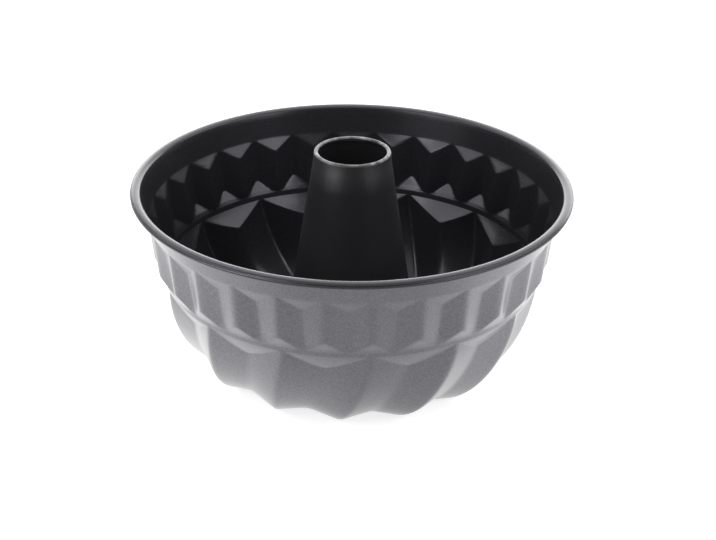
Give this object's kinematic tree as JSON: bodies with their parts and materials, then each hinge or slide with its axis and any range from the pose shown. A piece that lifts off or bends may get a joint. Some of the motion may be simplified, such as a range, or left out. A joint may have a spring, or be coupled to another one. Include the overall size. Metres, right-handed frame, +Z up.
{
  "type": "cake mould",
  "caption": "Round ring cake mould of coated steel sheet: pleated upper wall, swirling flutes below, a rolled rim and an open conical centre tube.",
  "frame": {"origin": "on the mould's axis, on the surface that the flutes stand on", "axes": "+Z up along the tube's axis; a groove of the upper pleats lies on +X, and so on -X, +Y and -Y"},
  "size_m": [0.222, 0.222, 0.115],
  "materials": {
    "bowl_coating": "satin grey metallic outside, satin black non-stick inside and over the rim",
    "tube_coating": "satin black non-stick, worn to bright metal along the lip",
    "wire": "plain drawn steel, hidden in the rim"
  },
  "bodies": {
    "root": {"fluted_bowl": "bowl_coating", "centre_tube": "tube_coating", "rim_wire": "wire"}
  },
  "joints": []
}
